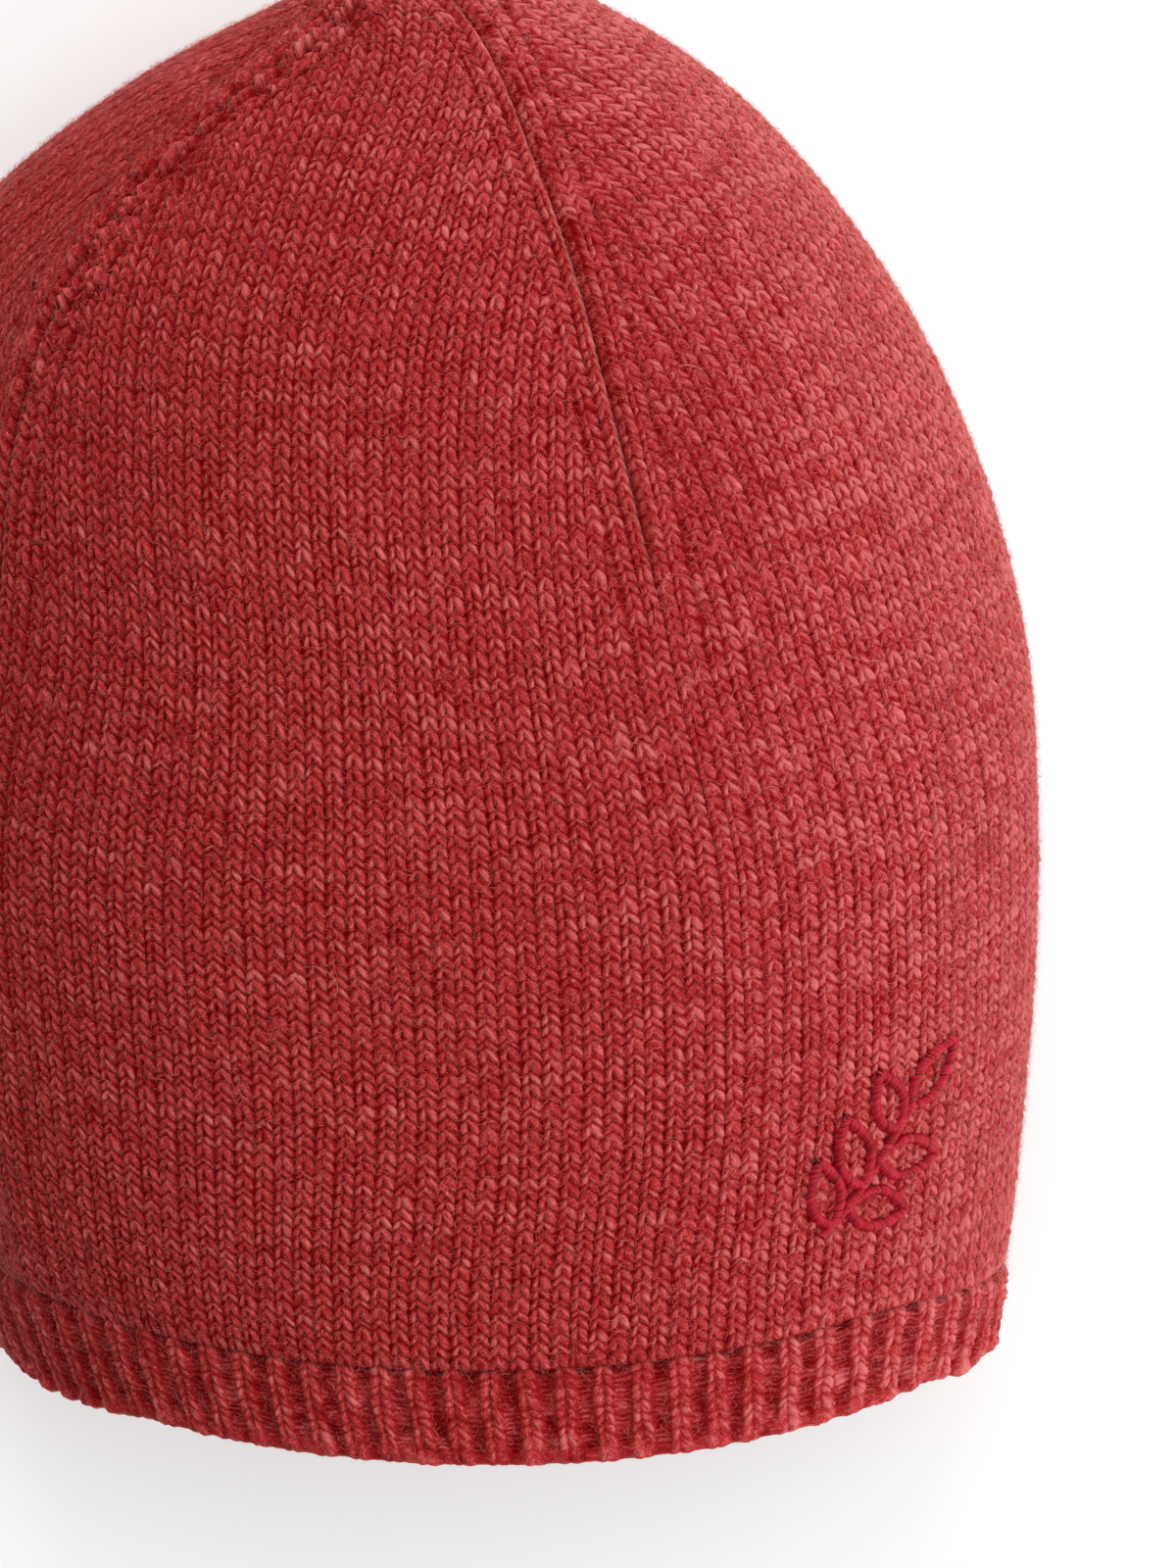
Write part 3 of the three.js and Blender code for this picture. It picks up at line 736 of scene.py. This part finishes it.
def ribBand():
    ribs, rowsPer, wide = band["ribs"], band["rowsPer"], band["knitWidth"]
    start, end = bandTop - band["under"], 1 - band["roll"] / hat["share"]
    knitCount, purlCount = len(band["knitSteps"]), len(band["purlSteps"])
    per = knitCount + purlCount
    columns = per * ribs
    phase, rib = np.tile(np.arange(per), ribs), np.repeat(np.arange(ribs), per)
    knitted = phase < knitCount
    steps = joined(wide * np.array(band["knitSteps"]), wide + (1 - wide) * np.array(band["purlSteps"]))
    turns = (rib + steps[phase] - wide / 2) * 360 / ribs
    peaks = np.array(band["knitHeights"] + (0,) * purlCount)[phase]
    sunk = np.array((0,) * knitCount + band["purlDepths"])[phase]
    inKnit = np.array(band["knitSteps"] + (1,) * purlCount)[phase]
    rise = band["lean"] * (1 - np.abs(inKnit - 0.45) / 0.55) * knitted
    outerRows, edgeRows, innerRows = band["courses"] * rowsPer + 3, band["edgeRows"], band["innerRows"]
    thick, tall = band["thickness"], end - start
    rows = [(start + tall * i / outerRows, 0.0, "outer", i) for i in range(outerRows + 1)]
    for i in range(1, edgeRows):
        swing = math.pi * i / edgeRows
        rows.append((end + (1 - end) * math.sin(swing), thick / 2 * (1 - math.cos(swing)), "edge", i))
    rows += [(end - tall * i / innerRows, thick, "inner", i) for i in range(innerRows + 1)]
    lattice = (len(rows) // rowsPer + 3, ribs * 4 + 4)
    uneven, swayed, slid = (rng.normal(0, 1, lattice) for _ in range(3))
    made = []
    courseStep = tall / band["courses"]
    for n, (share, depth, side, i) in enumerate(rows):
        spot = (np.full(columns, n / rowsPer), rib * 4 + np.minimum(phase / per * 4, 3.99))
        here = between(uneven, *spot)
        at, sway = np.full(columns, share), 0.0
        beat = (i % rowsPer) / rowsPer
        along = np.interp(beat, knit["along"], knit["crest"]) if side == "outer" else 1.0
        hem = band["hemRise"] * peaks * along + band["hemUneven"] * here - band["hemSink"]
        if side == "outer":
            purlBeat = math.sin(math.pi * ((beat * 2) % 1))
            ribbed = ease((1 - share) * hat["share"], band["edgeEnd"], band["edgeStart"])
            level = ease(share, start, start + band["levelLength"])
            at = at - level * courseStep * (rise * ribbed + band["slide"] * between(slid, *spot))
            sway = band["sway"] * between(swayed, spot[0] / 2, spot[1])
            bumps = band["purlBump"] * (purlBeat + 0.5 * here) * sunk
            high = peaks * (0.25 + 0.75 * along) * (1 + band["uneven"] * here)
            legs = -band["sink"] + (band["sink"] + band["lift"]) * high
            relief = np.where(knitted, legs, bumps - band["recess"] * sunk - band["sink"] * 0.5)
            past = share - bandTop
            relief = (ribbed * relief + (1 - ribbed) * hem
                      - band["tucked"] * (1 - ease(past, band["tuckedFrom"], band["tuckedUntil"])))
            # the colour's height is low in the purl recesses, for painted shade there
            height = np.where(knitted, high, 0.2 + 0.4 * purlBeat + 0.25 * here - 0.1 * sunk)
            height = ribbed * height + (1 - ribbed) * (0.35 + 0.45 * peaks + 0.2 * here)
        elif side == "edge":
            relief, height = hem, 0.4 + 0.4 * peaks + 0.2 * here
        else:
            relief = np.where(knitted, band["innerKnit"], band["innerPurl"] * sunk * ease(i, 0, 2))
            height = np.full(columns, 0.7)
        if side != "inner":
            scallop = band["scallop"] * (peaks - 0.6 + 0.4 * here)
            at = at + scallop * ease(share, band["scallopFrom"], 1)
        aside = rightSide(at, turns)
        slope = band["leanRight"] * aside * np.clip((1 - at) / (1 - bandTop), 0, 1)
        at = np.clip(at + hemDrop(at, turns) + seamDrop(at, turns), start - 0.004, 1.02)
        turn = turns + turnOf(sway + slope + straighten(at, turns), at)
        point, normal = clothPoint(at, turn, -band["inset"] + (band["inset"] - band["sideInset"]) * aside)
        point = aboveFloor(point + normal * (relief - depth)[..., None])
        made.append((point, height, at * hat["share"], paintedLightAndShade(at, turn)))
    points, heights, downs, pales = (np.array(values) for values in zip(*made))
    index = np.arange(len(rows) * columns).reshape(len(rows), columns)
    index = joined(index, index[:1])
    nextCol = np.roll(index, -1, axis=1)
    quads = np.stack([index[:-1], index[1:], nextCol[1:], nextCol[:-1]], -1).reshape(-1, 4)
    r, k = np.repeat(np.arange(len(rows)), columns), np.tile(np.arange(columns), len(rows))
    second = phase >= band["legsSplit"]
    leg, line = rib[k] * 3 + np.where(knitted, second.astype(int), 2)[k], r // rowsPer
    tones = heather(line.max() + 1, leg.max() + 1)
    seeds = rng.random(tones.shape)
    tone, seed = np.repeat(tones[line, leg], 4), np.repeat(seeds[line, leg], 4)
    flat = quads.ravel()
    # painted light and shade by side is added to the tone and height
    pale, drop = pales.ravel()[flat], downs.ravel()[flat]
    colour = yarnColours(tone + pale, heights.ravel()[flat] + lightAndShadePaint["height"] * pale, seed)
    side = np.tile([0, 0, 1, 1], len(quads))
    where = (turns[np.repeat(k, 4)] + side * 360 / columns) / 360 * girthAt(0.97)
    slant = np.repeat(np.where(second, band["innerSlant"], band["outerSlant"])[k], 4)
    uv = np.where(np.repeat(~knitted[k], 4)[:, None], np.stack([drop, where * 0.6], 1),
                  np.stack([where + slant * drop, drop], 1))
    return makeMesh("rib_band_knit", points.reshape(-1, 3), quads, noTris, (colour, uv))


place(ribBand(), knitWool, "rib_band", "wool_rib")


# The sprig: satin stitches laid side by side across each stroke, over a padded core.
sprig = {
    "share": 0.835, "turn": 56.5, "down": 256.0,  # down: millimetres for a whole share there
    "stem": ((-11, -12), (-6, -9), (-1, -3), (5, 4)), "stemPoints": 60,
    # where each leaf leaves the stem, its heading in degrees, its length and its belly
    "leaves": ((0.12, 105, 11, 2.7), (0.30, -18, 12, 2.8), (0.48, 108, 12, 2.9),
               (0.66, -12, 12, 2.8), (0.86, 112, 10.5, 2.6), (1.00, 40, 12, 2.8)),
    "leafPoints": 24, "bellyPower": 0.85,
    "width": 1.7, "lift": 0.25, "crest": 1.0,
    # across a stroke: where the core's points lie and how high, and where a thread's points lie
    "core": ((0.86, 0.0), (0.6, 0.55), (0.0, 0.75), (-0.6, 0.55), (-0.86, 0.0)),
    # the core is given the darkest thread tone: painted shade where it shows between the threads
    "coreStep": 0.5, "coreSink": 0.35, "coreTone": 0.1, "coreSeed": 0.5,
    "thread": (-1.0, -0.72, -0.3, 0.3, 0.72, 1.0), "threadSink": 0.3, "proud": 0.12, "round": 2.6,
    "threadStep": 0.27, "threadHalf": 0.17, "slant": 0.45, "uneven": 0.05,
    "tone": 0.55, "toneSpread": 0.16,
}


def onCrown(at, lift):
    share = sprig["share"] - at[:, 1] / sprig["down"]
    turn = sprig["turn"] + turnOf(at[:, 0], share)
    return clothPoint(share, turn, crownRelief(share, turn) + lift)[0]


def sprigStrokes():
    t = np.linspace(0, 1, sprig["stemPoints"])[:, None]
    p = [np.array(v, float) for v in sprig["stem"]]
    stem = ((1 - t) ** 3 * p[0] + 3 * (1 - t) ** 2 * t * p[1] + 3 * (1 - t) * t * t * p[2] + t ** 3 * p[3])
    strokes = [(stem, False)]
    count = sprig["leafPoints"]
    for along, heading, length, belly in sprig["leaves"]:
        base = stem[int(round(along * (len(stem) - 1)))]
        way = np.array([math.cos(math.radians(heading)), math.sin(math.radians(heading))])
        side = np.array([-way[1], way[0]])
        run = joined(np.linspace(0, 1, count)[:-1], np.linspace(1, 0, count)[:-1])
        sign = np.repeat([1.0, -1.0], count - 1)
        bow = sign * belly * np.sin(math.pi * run ** sprig["bellyPower"])
        strokes.append((base + length * run[:, None] * way + bow[:, None] * side, True))
    return strokes


def walkAlong(path, closed, step):
    # even steps along a path, with the way it runs at each
    if closed:
        path = joined(path, path[:1])
    lengths = np.linalg.norm(np.diff(path, axis=0), axis=1)
    walked = joined([0], np.cumsum(lengths))
    count = max(int(walked[-1] / step), 2)
    at = np.linspace(0, walked[-1], count, endpoint=not closed)
    spot = np.stack([np.interp(at, walked, path[:, 0]), np.interp(at, walked, path[:, 1])], 1)
    if closed:
        way = np.roll(spot, -1, axis=0) - np.roll(spot, 1, axis=0)
    else:
        way = np.gradient(spot, axis=0)
    return spot, unit(way)


def sprigMesh():
    points, quads, looks = [], [], []

    def addTubes(rings, tone, seed, closed=False):
        # rings: strand, station, corner, xyz
        index = sum(len(p) for p in points) + np.arange(rings[..., 0].size).reshape(rings.shape[:3])
        points.append(rings.reshape(-1, 3))
        if closed:
            index = joined(index, index[:, :1], axis=1)
        nextCorner = np.roll(index, -1, axis=2)
        made = np.stack([index[:, :-1], nextCorner[:, :-1], nextCorner[:, 1:], index[:, 1:]], -1)
        quads.append(made.reshape(-1, 4))
        tones, seeds = (np.repeat(value, made[0].size) for value in (tone, seed))
        station = np.arange(made.shape[1])[None, :, None, None] + np.array([0, 0, 1, 1])
        around = np.arange(made.shape[2])[None, None, :, None] + np.array([0, 1, 1, 0])
        uv = [np.broadcast_to(values, made.shape).ravel() for values in (around * 0.1, station * 0.4)]
        looks.append((yarnColours(tones, np.ones_like(tones), seeds), np.stack(uv, 1)))

    def walked(path, closed, step):
        spot, way = walkAlong(path, closed, step)
        return spot, way, np.stack([way[:, 1], -way[:, 0]], 1)

    half, r = sprig["width"] / 2, sprig["threadHalf"]
    for path, closed in sprigStrokes():
        spot, way, side = walked(path, closed, sprig["coreStep"])
        arch = [onCrown(spot + side * half * s, sprig["lift"] - sprig["coreSink"] + h * sprig["crest"])
                for s, h in sprig["core"]]
        addTubes(np.stack(arch, 1)[None], sprig["coreTone"], sprig["coreSeed"], closed)
        spot, way, side = walked(path, closed, sprig["threadStep"])
        jitter = rng.normal(0, sprig["uneven"], (len(spot), 2))
        rings = []
        for s in sprig["thread"]:
            at = spot + side * (half * s * (1 + jitter[:, :1] * 0.6))
            at = at + way * (sprig["slant"] * s * half + jitter[:, 1:] * 0.5)
            arched = (sprig["crest"] + sprig["proud"]) * (1 - abs(s) ** sprig["round"])
            lift = sprig["lift"] - sprig["threadSink"] + arched + jitter[:, 0] * 0.6
            rings.append(np.stack([onCrown(at + way * r, lift), onCrown(at, lift + r),
                                   onCrown(at - way * r, lift), onCrown(at, lift - r)], 1))
        tone = np.clip(rng.normal(sprig["tone"], sprig["toneSpread"], len(spot)), 0, 1)
        addTubes(np.stack(rings, 1), tone, rng.random(len(spot)))
    return makeMesh("sprig_threads", joined(*points), joined(*quads), noTris, *looks)


# colours with their places on the ramp of tones
threadLook = {"ramp": ((0.1, (104, 0, 14)), (0.5, (182, 8, 38)), (0.95, (220, 40, 72))),
              "shader": {"Roughness": 0.45, "Specular IOR Level": 0.4}}


def threadMaterial():
    material, tree = newMaterial("satinThread")
    ramp = addNode(tree, "ValToRGB", {"Fac": yarnParts(tree)["Red"]})
    stops = ramp.color_ramp.elements
    stops.new(0.5)
    for stop, (position, colour) in zip(stops, threadLook["ramp"]):
        stop.position, stop.color = position, srgb(*colour)
    addShader(tree, {**threadLook["shader"], "Base Color": ramp.outputs["Color"]})
    return material


place(sprigMesh(), threadMaterial(), "embroidered_sprig", "satin_thread")


# Loose fibres: a short halo all over, thickest where it is seen, and a few long pale strays.
# Facing: degrees from the middle of the front.
fibre = {
    "firstShare": 0.01, "shareReach": 0.985, "limits": (0.012, 0.998), "spare": 3,
    "root": -0.2, "archTurn": 0.75, "archPower": 0.8, "bendAt": 0.3, "taper": 0.5,
    "tone": 0.5, "toneSpread": 0.25, "paintedLightAndShade": 1.5,
    "shader": {"Roughness": 0.7, "Sheen Weight": 0.2},
    "curl": 0.0, "stations": 2, "dark": (172, 40, 42), "pale": (224, 120, 116),
}
fibreKinds = {
    "wool_nap": {"count": 98000, "length": (0.6, 1.7), "rise": (0.2, 1.2), "width": (0.05, 0.085),
                 "facing": (0, 105)},
    "wool_nap_sides": {"count": 44000, "length": (0.9, 2.3), "rise": (0.5, 1.9), "width": (0.05, 0.08),
                       "facing": (64, 106)},
    "wool_halo": {"count": 24000, "length": (1.2, 3.2), "rise": (0.2, 1.0), "width": (0.045, 0.07),
                  "facing": (0, 100), "curl": 0.9, "stations": 3},
    "wool_nap_far": {"count": 14000, "length": (0.8, 2.0), "rise": (0.2, 1.1), "width": (0.05, 0.09),
                     "facing": (105, 180)},
    "stray_fibres": {"count": 13, "length": (5.0, 12.0), "rise": (0.5, 1.6), "width": (0.035, 0.05),
                     "facing": (0, 90), "curl": 1.6, "stations": 9,
                     "dark": (216, 150, 146), "pale": (244, 214, 210)},
}


def fibreMesh(name, look):
    stations = look["stations"]
    spots = rng.random((look["count"] * look["spare"], 3))
    share = look["firstShare"] + look["shareReach"] * spots[:, 0]
    # as many to each part of the cloth, so fewer where the hat is narrow
    wide = girths[len(girths) * 2 // 3]
    kept = np.where(spots[:, 1] * wide < girthAt(share))[0][:look["count"]]
    low, high = look["facing"]
    aside = spots[kept, 2] * 2 - 1
    share, turn = share[kept], np.sign(aside) * (low + np.abs(aside) * (high - low))
    count = len(kept)
    heading = rng.uniform(0, 2 * math.pi, count)
    length, rise, width = (rng.uniform(*look[kind], count) for kind in ("length", "rise", "width"))
    bend = rng.normal(0, look["curl"], count)
    path = []
    for t in np.linspace(0, 1, stations):
        way = heading + bend * (t - look["bendAt"])
        here = np.clip(share - length * t * np.sin(way) / hat["share"], *look["limits"])
        around = turn + turnOf(length * t * np.cos(way), here)
        arch = math.sin(math.pi * look["archTurn"] * t ** look["archPower"])
        lift = look["root"] + (rise - look["root"]) * arch
        path.append(clothPoint(here, around, crownRelief(here, around) + lift)[0])
    path = np.stack(path, 1)
    run = unit(np.gradient(path, axis=1))
    side = unit(np.cross(run, rng.normal(0, 1, (count, 1, 3)))) * (width / 2)[:, None, None]
    side = side[:, :-1] * np.linspace(1, look["taper"], stations)[None, :-1, None]
    rails = np.stack([path[:, :-1] - side, path[:, :-1] + side], 2).reshape(count, -1, 3)
    points = aboveFloor(joined(rails, path[:, -1:], axis=1)).reshape(-1, 3)
    perFibre = (stations - 1) * 2 + 1
    start = np.arange(count)[:, None] * perFibre
    pair = start + np.arange(stations - 2)[None, :] * 2
    quads = np.stack([pair, pair + 2, pair + 3, pair + 1], -1).reshape(-1, 4)
    tris = start + perFibre - np.array([3, 1, 2])
    # the fibres take the painted light and shade by side as well
    tone = rng.normal(look["tone"], look["toneSpread"], count) + look["paintedLightAndShade"] * paintedLightAndShade(share, turn)
    tone, seed = np.clip(tone, 0, 1), rng.random(count)
    looks = []
    for wide in ((stations - 2) * 4, 3):
        tones, seeds = np.repeat(tone, wide), np.repeat(seed, wide)
        looks.append((yarnColours(tones, np.ones_like(tones), seeds), seeds[:, None] * (9, 5)))
    return makeMesh(name, points, quads, tris, *looks)


def fibreMaterial(name, look):
    material, tree = newMaterial(name)
    ends = {6: srgb(*look["dark"]), 7: srgb(*look["pale"]), 0: yarnParts(tree)["Red"]}
    colour = addNode(tree, "Mix", ends, data_type="RGBA").outputs[2]
    addShader(tree, {**look["shader"], "Base Color": colour})
    return material


for name, look in fibreKinds.items():
    look = {**fibre, **look}
    place(fibreMesh(name, look), fibreMaterial(name, look), None, "wool_knit")


# Floor, light and camera
studio = {
    "floorColour": (243, 247, 247), "floorHalf": 3.0, "world": 0.37,
    "floor": {"Roughness": 0.9, "Specular IOR Level": 0.0, "Emission Color": (1, 1, 1, 1),
              "Emission Strength": 0.26},
    # each light's place, what it is aimed at, its size in metres and its power in watts
    "lights": {"keyRight": ((1.1, -0.5, 0.55), (0, 0, 0.05), (0.9, 0.7), 11.6),
               "fillTop": ((-0.08, 1.3, 0.65), (0, 0, 0.05), (1.0, 0.7), 11.5),
               "overhead": ((0.4, 0.2, 1.85), (0, 0, 0), (1.2, 1.2), 7)},
    "camera": (25.0, 108.4), "cameraHeight": 4.0, "frameHeight": 250.0, "sharpHeight": 60.0,
}


def makeFloor():
    mesh = bpy.data.meshes.new("floor")
    corners = ((-1, -1), (1, -1), (1, 1), (-1, 1))
    mesh.from_pydata([(x * studio["floorHalf"], y * studio["floorHalf"], 0) for x, y in corners],
                     [], [(0, 1, 2, 3)])
    material, tree = newMaterial("paleFloor")
    addShader(tree, {**studio["floor"], "Base Color": srgb(*studio["floorColour"])})
    mesh.materials.append(material)
    return addObject("floor", mesh)


def addLight(name, place, aim, size, power):
    light = bpy.data.lights.new(name, "AREA")
    light.shape = "RECTANGLE"
    light.size, light.size_y = size
    light.energy = power
    made = addObject(name, light)
    made.location = place
    forward = unit(np.array(aim) - np.array(place))
    across = unit(np.cross(forward, (0, 0, 1)))
    up = np.cross(across, forward)
    made.rotation_euler = Matrix(np.stack([across, up, -forward], 1).tolist()).to_euler()


makeFloor()
for lightName, values in studio["lights"].items():
    addLight(lightName, *values)

world = bpy.data.worlds.new("studioWorld")
bpy.context.scene.world = world
world.use_nodes = True
background = world.node_tree.nodes["Background"].inputs
background["Color"].default_value = (1, 1, 1, 1)
background["Strength"].default_value = studio["world"]

camera = bpy.data.cameras.new("camera")
camera.sensor_width = 36
away = studio["cameraHeight"] - studio["sharpHeight"] * mm
camera.lens = camera.sensor_width * away / (studio["frameHeight"] * mm)
camera.clip_end = 20
cameraObject = addObject("camera", camera)
cameraX, cameraY = (np.array(studio["camera"]) + shift[:2]) * mm
cameraObject.location = (cameraX, cameraY, studio["cameraHeight"])
bpy.context.scene.camera = cameraObject
bpy.context.scene.view_settings.view_transform = "Standard"
print("studio ready")
